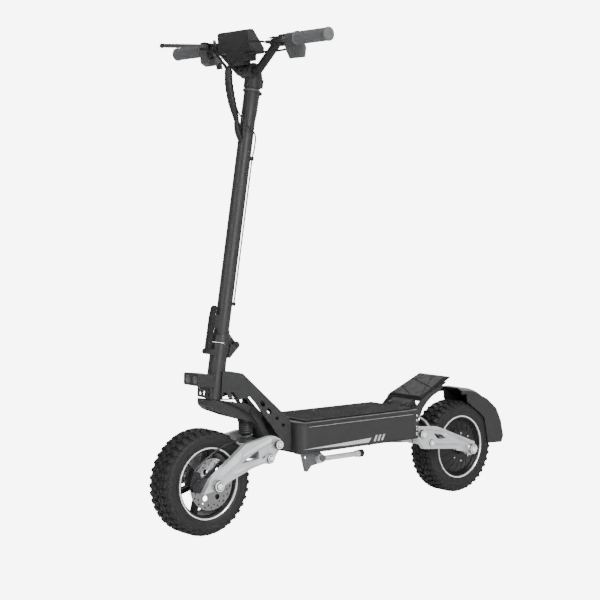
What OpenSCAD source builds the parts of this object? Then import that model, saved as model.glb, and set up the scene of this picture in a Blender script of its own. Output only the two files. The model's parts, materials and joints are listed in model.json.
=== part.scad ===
// Electric kick scooter: a folding stand-on scooter with a swinging link at each wheel.
// Millimetres. +X is forward, +Y the rider's left, +Z up, and the ground is z = 0.

/* [Wheels] */
// Outer diameter of each tyre
tyre_d = 266; // [262:1:268]
// Width of each tyre
tyre_w = 85; // [78:1:88]
// Distance between the two axles
wheelbase = 916; // [914:1:918]
// Outer diameter of the bright rim edge
rim_d = 176; // [170:1:178]

/* [Deck] */
// Length of the deck box
deck_l = 430; // [426:1:432]
// Width of the deck box
deck_w = 196; // [190:1:200]
// Height of the deck's lowest face above the ground
deck_low = 188; // [186:1:189]
// Height of the standing surface above the ground
deck_top = 272; // [271:1:273]

/* [Steering] */
// Backward lean of the steering axis in degrees
rake = 8.65; // [8.5:0.05:8.8]
// Outer diameter of the stem tube
stem_d = 38; // [34:1:40]
// Height of the grips above the ground
bar_h = 1230; // [1200:1:1240]
// Overall width over the grips
bar_w = 612; // [590:1:620]
// Outer diameter of the handlebar tube
bar_d = 22; // [22:0.1:22.4]

/* [Suspension] */
// Outer diameter of both coil springs
coil_d = 39; // [36:1:39]
// Diameter of the spring wire
wire_d = 6.5; // [5:0.5:7]

/* [Hidden] */

$fn = 64;
run = 0.05;                     // radial clearance of a turning fit
axle_z = tyre_d / 2;
front_x = 481;                  // front axle
rear_x = front_x - wheelbase;   // rear axle
steer_at = [428, 0, 430];       // a point on the steering axis
deck_front = 232;
deck_rear = deck_front - deck_l;
deck_half = deck_w / 2;
wall = 3;
plate_low = deck_top - 10;      // underside of the deck's top plate
cover_t = 3;                    // thickness of the bottom cover

lamp_y = 14.5;                  // each headlight, out from the middle
lamp_z = 392.5;
front_pivot = [289, 217];       // fork pivot of the front arms, in x and z
front_bolt = [315, 184];        // cross bolt of the front arms
front_eye = [334, 188];         // lower eye of the front shock
front_top = [339, 300];         // upper eye of the front shock
rear_pivot = [-231, 195];       // frame pivot of the rear arms
rear_eye = [-273, 165];         // lower eye of the rear shock
rear_top = [-243, 262];         // upper eye of the rear shock

fold_u = -39;                   // fold pivot, behind the steering axis
fold_h = 49.4;                  // fold pivot, along the steering axis
latch_u = 35;
latch_h = 24;
stem_top_h = 728;
bar_centre = [332, 1165];       // middle of the handlebar, in x and z
grip_x = 335;
lever_pivot = [368, 140, bar_h + 2];    // pivot of a brake lever before its perch is tilted
left_tilt = -11;                // upward turn of each brake perch about the bar
right_tilt = 5;
pod_y = 171;                    // middle of each control pod
paddle_at = [grip_x - 34, bar_h - 22];  // pivot of the thumb paddle, in x and z
kick_pivot = [163, 88, 167];
kick_l = 150;
kick_lean = 20;                 // outward lean of the kickstand's pivot
port_at = [120, -deck_half, 234];

black = [0.07, 0.07, 0.08];
dark = [0.14, 0.14, 0.15];
grey = [0.35, 0.35, 0.36];
silver = [0.75, 0.76, 0.78];

// Frames and helpers

// Carries a shape drawn about the z axis to a place on the leaning steering axis.
module steer(u = 0, h = 0) {
    translate(steer_at) rotate([0, -rake, 0]) translate([u, 0, h]) children();
}

// Extrudes an outline drawn in x and z, from y to y + t.
module slab(y, t) {
    translate([0, y + t, 0]) rotate([90, 0, 0]) linear_extrude(t) children();
}

// Repeats a shape on the other side of the middle plane.
module both() {
    children();
    mirror([0, 1, 0]) children();
}

// A round bar along y, from y0 to y1, at a point given in x and z.
module rod_y(at, r, y0, y1) {
    translate([at[0], y0, at[1]]) rotate([-90, 0, 0]) cylinder(r = r, h = y1 - y0);
}

// A ring about a wheel's axle, turned from a profile of radius and y.
module turned(x) {
    translate([x, 0, axle_z]) rotate([90, 0, 0]) rotate_extrude($fn = 96) children();
}

// A round bar between two points.
module bar(a, b, r) {
    d = b - a;
    l = norm(d);
    translate(a) rotate([0, acos(d[2] / l), atan2(d[1], d[0])]) cylinder(r = r, h = l);
}

// A point given in the leaning frame of the steering axis.
function on_axis(u, y, h) = [steer_at[0] + u * cos(rake) - h * sin(rake), y,
    steer_at[2] + u * sin(rake) + h * cos(rake)];

function unit(v) = v / norm(v);

// Points of a smooth curve through a list of route points.
function bend(p, i, t) =
    let (a = p[max(i - 1, 0)], b = p[i], c = p[i + 1], d = p[min(i + 2, len(p) - 1)])
    0.5 * (2 * b + (c - a) * t + (2 * a - 5 * b + 4 * c - d) * t * t
        + (3 * b - a - 3 * c + d) * t * t * t);
function smooth(p, n) = [for (i = [0 : len(p) - 2]) for (k = [0 : n - 1]) bend(p, i, k / n),
    p[len(p) - 1]];

// A flexible cable of radius r along a route.
module cable(route, r, n = 2, sides = 8) {
    pts = smooth(route, n);
    last = len(pts) - 1;
    side = unit(cross(pts[last] - pts[0], [0.31, 0.9, 0.17]));
    rings = [for (i = [0 : last])
        let (t = unit(pts[min(i + 1, last)] - pts[max(i - 1, 0)]),
            a = unit(side - (side * t) * t), b = cross(t, a))
        for (k = [0 : sides - 1]) pts[i] + r * (cos(360 * k / sides) * a + sin(360 * k / sides) * b)];
    faces = concat(
        [for (i = [0 : last - 1]) for (k = [0 : sides - 1])
            [i * sides + k, (i + 1) * sides + k, (i + 1) * sides + (k + 1) % sides,
                i * sides + (k + 1) % sides]],
        [[for (k = [0 : sides - 1]) k]],
        [[for (k = [sides - 1 : -1 : 0]) last * sides + k]]);
    polyhedron(rings, faces);
}

// Deck and frame

// Plan outline of the deck with its rounded front corners.
module deck_outline(half, front_r) {
    translate([deck_rear, -half]) square([deck_l - front_r, 2 * half]);
    translate([deck_rear, -half + front_r]) square([deck_l, 2 * (half - front_r)]);
    for (s = [-1, 1])
        translate([deck_front - front_r, s * (half - front_r)]) circle(r = front_r);
}

module deck_shell() {
    color(dark) difference() {
        translate([0, 0, deck_low + cover_t]) linear_extrude(plate_low - deck_low - cover_t)
            deck_outline(deck_half, 30);
        translate([0, 0, deck_low + cover_t - 1]) intersection() {
            linear_extrude(deck_top - deck_low) deck_outline(deck_half - wall, 27);
            translate([deck_rear + wall, -deck_half, 0])
                cube([deck_l - 2 * wall, deck_w, deck_top - deck_low]);
        }
        translate([port_at[0], -deck_half + 5, port_at[2]]) rotate([90, 0, 0]) cylinder(r = 11, h = 10);
    }
}

module deck_plate() {
    color(dark) translate([0, 0, plate_low]) linear_extrude(6) deck_outline(deck_half, 30);
}

module bottom_cover() {
    color(black) translate([0, 0, deck_low]) linear_extrude(cover_t) deck_outline(deck_half - 1, 29);
}

// The tail plate's outline seen along its own normal, with +x towards the rear.
module tail_outline(inset) {
    polygon([[inset, -69 + inset], [inset, 69 - inset], [135 - inset, 61 - inset],
        [135 - inset, -61 + inset]]);
}

// Carries a shape from the tail plate's own plane to its sloping place.
module on_tail() {
    translate([-240, 0, 290]) rotate([0, 0, 180]) rotate([0, -24.2, 0]) children();
}

module tread_pads() {
    color(black) {
        translate([0, 0, plate_low + 6]) linear_extrude(deck_top - plate_low - 6)
            translate([deck_rear + 8, -84]) square([deck_l - 34, 168]);
        on_tail() linear_extrude(3) tail_outline(4);
    }
}

module battery_pack() {
    color([0.15, 0.25, 0.5]) translate([deck_rear + 26, -82, deck_low + 6]) cube([270, 164, 58]);
}

module motor_controller() {
    color(silver) translate([118, -55, deck_low + 6]) {
        cube([86, 110, 30]);
        for (i = [0 : 6]) translate([0, 4 + 16 * i, 30]) cube([86, 5, 8]);
    }
}

module deck_screws() {
    color(silver) {
        for (s = [-1, 1]) for (z = [200, 214, 238, 252])
            rod_y([deck_rear + 7, z], 3.4, s > 0 ? deck_half : -deck_half - 2,
                s > 0 ? deck_half + 2 : -deck_half);
        for (s = [-1, 1]) for (x = [deck_rear + 30, deck_rear + 178, deck_front - 104])
            translate([x, s * 88, deck_low - 2]) cylinder(r = 4, h = 2);
    }
}

// Neck from the deck up to the head tube: two toed-in side plates and the web between them.
neck_toe = 8.6;
module toe_in() {
    translate([deck_front, 60, 0]) rotate([0, 0, -neck_toe]) translate([-deck_front, -60, 0]) children();
}

module neck_windows() {
    polygon([[436, 340], [434, 357], [426, 357], [416, 340]]);
    polygon([[405, 338], [392, 338], [404, 356], [414, 356]]);
    for (p = [[319, 321], [299, 301]]) translate(p) rotate(48) scale([1, 0.62]) circle(r = 9);
    for (p = [[276, 281], [257, 262]]) translate(p) circle(r = 5);
}

module neck_plates() {
    color(dark) both() toe_in() slab(54, 6) difference() {
        polygon([[436, 411], [412, 409], [378, 402], [240, 277], [233.5, 266], [233.5, 196],
            [250, 196], [268, 234], [318, 294], [336, 320], [356, 342], [386, 336], [440, 338]]);
        neck_windows();
    }
}

module neck_web() {
    color(dark) {
        difference() {
            slab(-50, 100) polygon([[418, 403], [379, 396], [238, 269], [238, 262], [244, 262],
                [381, 391], [418, 397]]);
            both() toe_in() translate([200, 54, 180]) cube([300, 60, 260]);
            translate([200, -100, 250]) cube([deck_front - 200, 200, 30]);
            translate([252, -36, 240]) cube([90, 72, 150]);
            steer(0, -110) cylinder(r = 23, h = 120);
        }
        translate([deck_front, -53, 196]) cube([6, 106, 60]);
    }
}

module head_tube() {
    color(dark) {
        steer(0, -93) difference() {
            cylinder(r = 23, h = 63);
            translate([0, 0, -1]) cylinder(r = 15.4, h = 65);
            translate([0, 0, -1]) cylinder(r = 20, h = 9);
            translate([0, 0, 55]) cylinder(r = 20, h = 9);
        }
    }
}

module headset_bearings() {
    color(silver) for (h = [-93, -38]) steer(0, h) difference() {
        cylinder(r = 20, h = 8);
        translate([0, 0, -1]) cylinder(r = 15 + run, h = 10);
    }
}

// A hole of radius r bored forwards through the light bracket.
module light_hole(y, z, r, from = 462) {
    translate([from, y, z]) rotate([0, 90, 0]) cylinder(r = r, h = 20);
}

// Twin lamp housing with the drilled bracket that holds it to the head tube.
module headlight_housing() {
    color(dark) difference() {
        union() {
            slab(-30, 60) polygon([[458, 372], [508, 377], [511, 380], [511, 405], [508, 408],
                [462, 403]]);
            translate([466, -28, 344]) cube([4, 56, 31]);
            slab(-12, 24) polygon([[440, 362], [467, 362], [467, 400], [440, 400]]);
        }
        for (y = [-lamp_y, lamp_y]) light_hole(y, lamp_z, 11.2, 505);
        for (y = [-20, 20]) light_hole(y, 366, 2.75);
        light_hole(0, 354, 7);
        for (y = [-18, 18]) light_hole(y, 353, 4.5);
        steer(0, -110) cylinder(r = 23, h = 120);
    }
}

module headlight_lenses() {
    color([0.8, 0.85, 0.9]) for (y = [-lamp_y, lamp_y]) translate([505.2, y, lamp_z]) rotate([0, 90, 0]) {
        cylinder(r = 11, h = 3.5);
        translate([0, 0, 3.5]) cylinder(r1 = 11, r2 = 8, h = 2);
    }
}

// Rear of the frame: clevis for the rear arms and shock, gussets and a shelf under the tail plate.
module tail_bracket() {
    color(dark) {
        difference() {
            union() {
                both() slab(24, 6) polygon([[deck_rear, 190], [deck_rear, 264], [-204, 278], [-252, 284],
                    [-262, 262], [-252, 240], [-247, 205], [-231, 180], [-212, 190]]);
                both() rod_y(rear_pivot, 15, 22, 63);
                translate([deck_rear - 5, -80, 192]) cube([5, 160, 70]);
                both() slab(62.3, 3.9) polygon([[-199.5, 260], [-199.5, 228], [-222, 228], [-241, 250],
                    [-247, 263], [-265, 281], [-284, 295], [-316, 309], [-330, 326.5],
                    [-240, 287], [-222, 272], [-208, 260]]);
                slab(-40, 80) polygon([[-212, 258], [-199.5, 258], [-199.5, 266], [-226, 283.5],
                    [-241, 289], [-241, 281]]);
                slab(-66.5, 133) polygon([[-237, 284.3], [-237, 296], [-337, 341], [-340, 329.5]]);
            }
            rod_y(rear_pivot, 6.1, -70, 70);
            rod_y(rear_top, 5.1, -40, 40);
            for (y = [-38, 38]) translate([-285, y, 300]) rotate([0, -24.2, 0]) translate([0, 0, -20])
                cylinder(r = 14, h = 50);
            on_tail() translate([-20, -90, -2.2]) cube([180, 180, 30]);
        }
        rod_y(rear_top, 5, -34, 34);
        both() rod_y(rear_top, 8.5, 30, 34);
        rod_y(rear_pivot, 6, -82, 82);
        both() rod_y(rear_pivot, 11, 78.4, 84);
    }
}

module tail_plate() {
    color(dark) on_tail() translate([0, 0, -2.2]) linear_extrude(2.2) tail_outline(0);
}

module tail_light() {
    color([0.6, 0.05, 0.05]) both() translate([deck_rear - 10, 52, 246]) rotate([0, 90, 0])
        cylinder(r = 10, h = 5);
}

module kickstand_bracket() {
    color(grey) {
        difference() {
            slab(82, 5) polygon([[222, deck_low], [158, deck_low], [146, 178], [150, 158], [186, 152],
                [200, 138], [208, 140]]);
            rod_y([206, 176], 4, 80, 90);
            translate(kick_pivot) rotate([kick_lean - 90, 0, 0]) translate([0, 0, -0.25])
                cylinder(r = 12, h = 20);
        }
        translate([158, 60, deck_low - 4]) cube([64, 27, 4]);
        translate(kick_pivot) rotate([kick_lean - 90, 0, 0]) {
            translate([0, 0, -5]) cylinder(r = 10, h = 4.8);
            cylinder(r = 5, h = 17);
            translate([0, 0, 15.4]) cylinder(r = 9, h = 4);
        }
    }
}

module charge_port() {
    color(silver) translate(port_at) rotate([90, 0, 0]) difference() {
        union() {
            translate([0, 0, -14]) cylinder(r = 10.9, h = 14);
            cylinder(r = 13, h = 2);
        }
        translate([0, 0, -9]) cylinder(r = 7, h = 12);
    }
}

module charge_cap() {
    color(black) translate([port_at[0], port_at[1] - 2.4, port_at[2]]) {
        rotate([90, 0, 0]) cylinder(r = 14, h = 3);
        translate([-5, -3, 10]) cube([10, 3, 9]);
    }
}

// Steering assembly below the fold

// The fork with its steerer pressed in.
module fork() {
    color(dark) difference() {
        union() {
            steer(0, -118) cylinder(r = 15, h = 145);
            steer(0, -96) cylinder(r = 19, h = 2.6);
            both() slab(24, 6) polygon([[466, 340.2], [353, 321], [322, 300], [306, 278], [294, 258],
                [279, 234], [273, 217], [276, 208], [289, 201], [302, 208], [306, 226], [314, 246],
                [324, 264], [338, 274], [362, 281], [395, 290], [440, 306], [456, 313], [468, 325],
                [469, 338]]);
            slab(-24, 48) polygon([[466, 340.2], [400, 329], [404, 300], [456, 313], [468, 325],
                [469, 338]]);
            both() rod_y(front_pivot, 15, 20.5, 57.4);
        }
        rod_y(front_pivot, 6, -70, 70);
        rod_y(front_top, 5, -40, 40);
        steer(0, -119) cylinder(r = 12, h = 150);
    }
}

// Brake hose held along the left of the fork.
module fork_hose() {
    color(black) cable(route_fork, 2.2, 3);
}

module hinge_base() {
    color(dark) difference() {
        steer() union() {
            translate([0, 0, -29.4]) cylinder(r = 22.5, h = 55);
            translate([0, 0, 25]) cylinder(r = 24, h = 24.8);
            for (s = [-1, 1]) translate([0, s * 14, 0]) {
                translate([fold_u, 6, fold_h]) rotate([90, 0, 0]) cylinder(r = 9, h = 12);
                rotate([90, 0, 0]) translate([0, 0, -6]) linear_extrude(12)
                    polygon([[-20, 49.4], [fold_u, 49.4], [fold_u - 8.6, 46.5], [-22, 14], [-16, 14]]);
            }
            for (s = [-1, 1]) translate([latch_u, s * 12 + 3, latch_h]) rotate([90, 0, 0])
                linear_extrude(6) union() {
                    circle(r = 7);
                    translate([-20, -7]) square([20, 14]);
                }
        }
        steer(0, -60) cylinder(r = 15, h = 87);
        steer(0, 20) cylinder(r = 12, h = 40);
    }
    color(silver) {
        steer() translate([fold_u, 24, fold_h]) rotate([90, 0, 0]) cylinder(r = 4, h = 48);
        steer() translate([latch_u, 16.5, latch_h]) rotate([90, 0, 0]) cylinder(r = 3, h = 33);
    }
}

module fork_bolts() {
    color(silver) {
        rod_y(front_pivot, 6, -78, 78);
        both() rod_y(front_pivot, 11, 73, 79);
        rod_y(front_top, 5, -34, 34);
        both() rod_y(front_top, 8.5, 30, 34);
    }
}

// Stem

module stem_tube() {
    color(dark) {
        difference() {
            steer() union() {
                translate([0, 0, 50.2]) cylinder(r = stem_d / 2, h = stem_top_h - 50.2);
                translate([0, 0, 50.2]) cylinder(r = 24, h = 16);
                translate([0, 0, 66.2]) cylinder(r1 = 24, r2 = stem_d / 2, h = 8);
                translate([0, 0, 78]) cylinder(r = 21, h = 4);
                translate([fold_u, 7.7, fold_h]) rotate([90, 0, 0]) cylinder(r = 9, h = 15.4);
                rotate([90, 0, 0]) translate([0, 0, -7.7]) linear_extrude(15.4)
                    polygon([[-18, 50.2], [fold_u, 50.2], [fold_u - 8, 53], [-22, 74], [-17, 84]]);
                translate([18, -7, 84]) cube([11.6, 14, 34]);
            }
            steer(0, 40) cylinder(r = 16, h = stem_top_h);
            steer() translate([fold_u, 20, fold_h]) rotate([90, 0, 0]) cylinder(r = 4 + run, h = 40);
            bar([374, 0, 1022], [344, 0, 964], 9.4);
        }
    }
}

module fold_hook() {
    color(black) steer() translate([-stem_d / 2, 0, 0]) {
        difference() {
            rotate([90, 0, 0]) translate([0, 0, -4]) linear_extrude(8)
                polygon([[2, 622], [2, 698], [-6, 698], [-15, 692], [-11, 686], [-6, 688], [-5, 640],
                    [-3, 622]]);
            translate([stem_d / 2, 0, 600]) cylinder(r = stem_d / 2, h = 120);
        }
    }
}

module bar_clamp() {
    color(dark) difference() {
        union() {
            steer(0, 700) cylinder(r = 22, h = 30);
            steer(-28, 704) translate([0, -9, 0]) cube([12, 18, 22]);
            rod_y(bar_centre, 19, -21, 21);
            slab(-16, 32) polygon([[300, 1140], [338, 1146], [348, 1155], [330, 1180], [306, 1176]]);
        }
        steer(0, 690) cylinder(r = stem_d / 2, h = 38);
        rod_y(bar_centre, bar_d / 2 + 0.1, -40, 40);
    }
    color(silver) for (s = [-1, 1]) translate([bar_centre[0] + 19, s * 12, bar_centre[1]]) rotate([0, 90, 0])
        cylinder(r = 4, h = 4);
}

module handlebar() {
    half = bar_w / 2 - 3;
    color(dark) {
        bar([bar_centre[0], -38, bar_centre[1]], [bar_centre[0], 38, bar_centre[1]], bar_d / 2);
        both() {
            translate([bar_centre[0], 38, bar_centre[1]]) sphere(r = bar_d / 2);
            bar([bar_centre[0], 38, bar_centre[1]], [grip_x, 120, bar_h], bar_d / 2);
            translate([grip_x, 120, bar_h]) sphere(r = bar_d / 2);
            bar([grip_x, 120, bar_h], [grip_x, half, bar_h], bar_d / 2);
        }
    }
}

module grips() {
    color(grey) both() difference() {
        union() {
            rod_y([grip_x, bar_h], 16, 189, bar_w / 2);
            rod_y([grip_x, bar_h], 18, 187, 192);
            rod_y([grip_x, bar_h], 17, bar_w / 2 - 6, bar_w / 2);
        }
        rod_y([grip_x, bar_h], bar_d / 2 + 0.1, 180, bar_w / 2 - 3);
    }
}

module display_housing() {
    color(dark) difference() {
        union() {
            slab(-62, 124) polygon([[384, 1222], [387, 1255], [383, 1260], [370, 1261], [334, 1217],
                [334, 1203], [376, 1208]]);
            slab(-36, 72) polygon([[380, 1212], [338, 1206], [338, 1187], [374, 1185]]);
            slab(-18, 36) polygon([[344, 1188], [370, 1188], [364, 1176], [338, 1178]]);
        }
        rod_y(bar_centre, 19.2, -40, 40);
        slab(-54, 108) polygon([[371, 1264], [366.5, 1255], [340, 1223], [332, 1217]]);
    }
}

module display_glass() {
    color(black) slab(-53.8, 107.6) polygon([[366.4, 1255.2], [365.2, 1255.2], [339.1, 1223.4],
        [340, 1223.2]]);
}

// Turns a shape drawn level with the bar about the bar's own axis.
module on_bar(tilt) {
    translate([grip_x, 0, bar_h]) rotate([0, -tilt, 0]) translate([-grip_x, 0, -bar_h]) children();
}

// Brake lever perches, each a ring on the bar, a block that holds the lever's pivot, and a cable barrel.
module perch() {
    difference() {
        union() {
            rod_y([grip_x, bar_h], 15, 128, 150);
            translate([grip_x, 128, bar_h - 7.5]) cube([21, 22, 19]);
            for (z = [lever_pivot[2] - 9.5, lever_pivot[2] + 5.5])
                translate([grip_x + 18, 130, z]) cube([22, 20, 4]);
        }
        rod_y([grip_x, bar_h], bar_d / 2 + 0.1, 100, 170);
    }
    translate([lever_pivot[0], lever_pivot[1], lever_pivot[2] - 11]) cylinder(r = 3, h = 22);
    bar([352, 134, bar_h - 2], [364, 104, bar_h + 1], 4.5);
}

module lever_perches() {
    color(dark) {
        on_bar(left_tilt) perch();
        on_bar(right_tilt) mirror([0, 1, 0]) perch();
    }
}

// A control pod round the bar, with a lobe that hangs below it.
module pod(lobe) {
    difference() {
        union() {
            rod_y([grip_x, bar_h], 16, pod_y - 15, pod_y + 14.5);
            slab(pod_y - 15, 29.5) polygon(lobe);
        }
        rod_y([grip_x, bar_h], bar_d / 2 + 0.1, 100, 240);
    }
}

module control_pods() {
    color(grey) {
        difference() {
            pod([[grip_x + 15, bar_h - 6], [grip_x + 9, bar_h - 26], [grip_x - 4, bar_h - 47],
                [grip_x - 30, bar_h - 43], [grip_x - 33, bar_h - 18], [grip_x - 14, bar_h + 8]]);
            translate([grip_x - 40, pod_y, bar_h - 30]) rotate([0, 90, 0]) cylinder(r = 5.8, h = 14);
        }
        mirror([0, 1, 0]) union() {
            pod([[grip_x + 15, bar_h - 6], [grip_x + 11, bar_h - 34], [grip_x - 5, bar_h - 42],
                [grip_x - 23, bar_h - 38], [grip_x - 27, bar_h - 16], [grip_x - 14, bar_h + 8]]);
            for (y = [pod_y - 15, pod_y + 9.5]) slab(y, 5)
                polygon([[grip_x - 24, bar_h - 14], [paddle_at[0] - 3, paddle_at[1] + 4],
                    [paddle_at[0] - 3, paddle_at[1] - 4], [grip_x - 24, bar_h - 34]]);
            rod_y(paddle_at, 2, pod_y - 15, pod_y + 14.5);
        }
    }
}

// Thumb paddle behind the right pod.
module throttle_lever() {
    color(black) mirror([0, 1, 0]) difference() {
        union() {
            rod_y(paddle_at, 5, pod_y - 9.5, pod_y + 9);
            slab(pod_y - 9.5, 18.5) polygon([paddle_at + [-5, 0], paddle_at + [3, -4],
                paddle_at + [-4, -25], paddle_at + [-10, -24]]);
        }
        rod_y(paddle_at, 2 + run, 100, 240);
    }
}

// Horn button in the left pod.
module horn_button() {
    color([0.6, 0.1, 0.1]) translate([grip_x - 36.5, pod_y, bar_h - 30]) rotate([0, 90, 0])
        cylinder(r = 5.5, h = 7.5);
}

// Routes of the cables and hoses.
bundle = [[398, 0, 1162], [397, 0, 1130], [387, 0, 1085]];
low_sheath = [[371, 0, 1034], [368, 0, 1012], [357, 0, 990], [346, 0, 968]];
route_left = [[366, 102, 1226], [378, 84, 1228], [394, 62, 1225], [405, 36, 1205], [405, 5, 1165]];
route_right = [[366, -102, 1234], [376, -84, 1241], [396, -64, 1238], [409, -36, 1210],
    [401, -6, 1165]];
route_left_pod = [[332, 155, 1208], [344, 130, 1204], [376, 84, 1200], [398, 40, 1190],
    [398, 7, 1165]];
route_right_pod = [[332, -155, 1208], [344, -130, 1210], [378, -88, 1210], [402, -44, 1202],
    [394, -5, 1165]];
route_display = [[376, 10, 1184], [382, 7, 1178], [391, 3, 1172], [392, 2, 1165]];
route_upper_pair = [[[390, 4, 1081], [383, 4, 1066], [376, 3, 1050], [373, 3, 1037]],
    [[384, -4, 1081], [378, -4, 1066], [372, -3, 1050], [370, -3, 1037]]];
route_outer = [[384, 9, 1081], [376, 14, 1056], [358, 25, 1026], on_axis(-6, 29, 580),
    on_axis(-16, 20, 548), on_axis(-16.5, 15.5, 525)];
route_side = [for (h = [520, 440, 360, 280, 200, 152]) on_axis(-16.5, 15.5, h)];
route_fork = [[432, 33, 334], [404, 33, 323], [372, 35, 308], [346, 38, 290], [324, 38, 262],
    [312, 43, 236], [318, 48, 232]];
route_front_hose = [[322, 48.5, 231], [356, 50, 236], [400, 50, 236], [446, 50, 226], [486, 51, 208],
    [520, 52, 186], [536, 52, 166]];
route_rear_hose = [[-222, 50, 246], [-246, 54, 244], [-276, 58, 226], [-310, 60, 200],
    [-380, 60, 180], [-440, 58, 178], [-484, 54, 174]];
route_motor_cable = [[-224, 50, 238], [-246, 52, 238], [-270, 56, 224], [-292, 60, 198],
    [-340, 60, 172], [-396, 60, 152], [-420, 60, 140]];

module control_cables() {
    color(black) {
        for (r = [route_left, route_right, route_left_pod, route_right_pod, route_display])
            cable(r, 2.2, 3);
        for (r = route_upper_pair) cable(r, 2.8, 2);
        cable(route_outer, 1.9, 3);
        cable(route_side, 1.9, 2);
    }
}

module cable_guides() {
    color(black) {
        cable(bundle, 10, 4, 12);
        cable(low_sheath, 7.6, 3, 12);
        for (h = [517, 146]) steer(0, h) difference() {
            rotate([0, 0, 47]) translate([-5, 16, 0]) cube([10, 11, 9]);
            cylinder(r = stem_d / 2, h = 30, center = true);
            translate([-16.5, 15.5, -1]) cylinder(r = 2, h = 12);
        }
    }
}

module latch_lever() {
    color(grey) steer() difference() {
        union() {
            rotate([90, 0, 0]) translate([0, 0, -8]) linear_extrude(16)
                polygon([[30.2, 30], [30.2, 118], [28, 136], [32, 141], [37, 136], [40, 112], [41, 30],
                    [38, 19], [32, 19]]);
            translate([latch_u, 8, latch_h]) rotate([90, 0, 0]) cylinder(r = 6.5, h = 16);
        }
        translate([latch_u, 20, latch_h]) rotate([90, 0, 0]) cylinder(r = 3 + run, h = 40);
        translate([20, -5, 44]) cube([16, 10, 40]);
    }
}

// A brake lever's blade at rest, before its perch is tilted.
module lever_blade() {
    p = lever_pivot;
    difference() {
        union() {
            translate([p[0], p[1], p[2] - 5]) cylinder(r = 8, h = 10);
            translate([p[0], p[1], p[2] - 4.5]) linear_extrude(9)
                polygon([[-3, -8], [7, -4], [17, 12], [30, 34], [45, 60], [58, 84], [65, 99], [59, 103],
                    [49, 89], [36, 66], [21, 40], [7, 18], [-6, 5]]);
            translate([p[0] + 61.5, p[1] + 103, p[2]]) sphere(r = 6.5);
        }
        translate([p[0], p[1], p[2] - 10]) cylinder(r = 3 + run, h = 20);
    }
}

module brake_lever_left() {
    color(black) on_bar(left_tilt) lever_blade();
}

module brake_lever_right() {
    color(black) on_bar(right_tilt) mirror([0, 1, 0]) lever_blade();
}

// Suspension arms and wheels

module front_arms() {
    color(silver) {
        difference() {
            union() {
                both() slab(58, 14) difference() {
                    union() {
                        polygon([[274, 214], [279, 230], [300, 240], [314, 240], [394, 227], [500, 152],
                            [524, 116], [472, 124], [437, 141], [345, 173], [318, 170], [302, 178]]);
                        translate(front_pivot) circle(r = 15);
                        translate(front_bolt) circle(r = 15);
                    }
                    polygon([[350, 211], [406, 180], [350, 186]]);
                }
                both() rod_y(front_eye, 10, 11.5, 60);
            }
            rod_y(front_pivot, 6 + run, -90, 90);
            rod_y(front_eye, 5, -90, 90);
            rod_y([front_x, axle_z], 6, -90, 90);
        }
    }
    color(grey) {
        rod_y(front_eye, 5, -60, 60);
        both() rod_y(front_bolt, 10, 71, 77);
    }
}

module front_axle() {
    color(silver) {
        rod_y([front_x, axle_z], 6, -82, 82);
        both() {
            rod_y([front_x, axle_z], 9, 51, 58);
            rod_y([front_x, axle_z], 10.5, 72, 79);
        }
    }
}

// A brake caliper over the rotor's edge, drawn on the left side of a wheel at x.
module caliper(x, turn, y_in, y_out, rotor_y) {
    translate([x, 0, axle_z]) rotate([0, turn, 0]) difference() {
        union() {
            translate([48, y_in, -19]) cube([23, y_out - y_in, 38]);
            translate([44, rotor_y + 3, -13]) cube([6, y_out - rotor_y - 3, 26]);
            translate([30, rotor_y + 4, -24]) cube([36, 5, 7]);
        }
        translate([30, rotor_y - 1.6, -40]) cube([37.5, 3.2, 80]);
    }
}

module front_caliper() {
    color(grey) {
        caliper(front_x, -19, 38.4, 56, 46);
        difference() {
            slab(52, 6) polygon([[496, 150], [520, 116], [545, 122], [548, 138], [530, 156]]);
            rod_y([front_x, axle_z], 12, 40, 60);
        }
        cable(route_front_hose, 2.2, 3);
    }
}

// The tyre's section: carcass open at its bead, in radius and distance from the middle.
module tyre_profile() {
    r = tyre_d / 2;
    half = tyre_w / 2;
    bead = rim_d / 2;
    polygon([[bead, -34], [bead + 6, -38], [bead + 20, -half + 1], [r - 24, -half], [r - 12, -half + 2.5],
        [r - 3, -half + 9], [r, -26], [r, 26], [r - 3, half - 9], [r - 12, half - 2.5], [r - 24, half],
        [bead + 20, half - 1], [bead + 6, 38], [bead, 34], [bead, 27], [bead + 10, 33], [r - 22, 34],
        [r - 12, 24], [r - 11, 0], [r - 12, -24], [r - 22, -34], [bead + 10, -33], [bead, -27]]);
}

module front_tyre() {
    color(black) turned(front_x) tyre_profile();
}

module rear_tyre() {
    color(black) turned(rear_x) tyre_profile();
}

// The rim's barrel with a lip on each side.
module barrel_profile() {
    r = rim_d / 2;
    polygon([[r, -34], [r, 34], [r - 5, 34], [r - 5, 30], [r - 8, 27], [r - 8, -27], [r - 5, -30],
        [r - 5, -34]]);
}

module front_rim() {
    color(dark) {
        turned(front_x) barrel_profile();
        difference() {
            union() {
                rod_y([front_x, axle_z], 24, -36, 36);
                rod_y([front_x, axle_z], 30, 36, 44.8);
                for (a = [0 : 60 : 300]) translate([front_x, 0, axle_z]) rotate([0, a + 15, 0])
                    translate([20, -9, -6]) cube([rim_d / 2 - 26, 18, 12]);
            }
            rod_y([front_x, axle_z], 9.5, -60, 60);
            rod_y([front_x, axle_z], 14, -50, -28);
            rod_y([front_x, axle_z], 14, 36, 50);
        }
    }
}

module front_bearings() {
    color(silver) for (y = [-36, 36.8]) difference() {
        rod_y([front_x, axle_z], 14, y, y + 8);
        rod_y([front_x, axle_z], 6 + run, y - 1, y + 10);
    }
}

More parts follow.
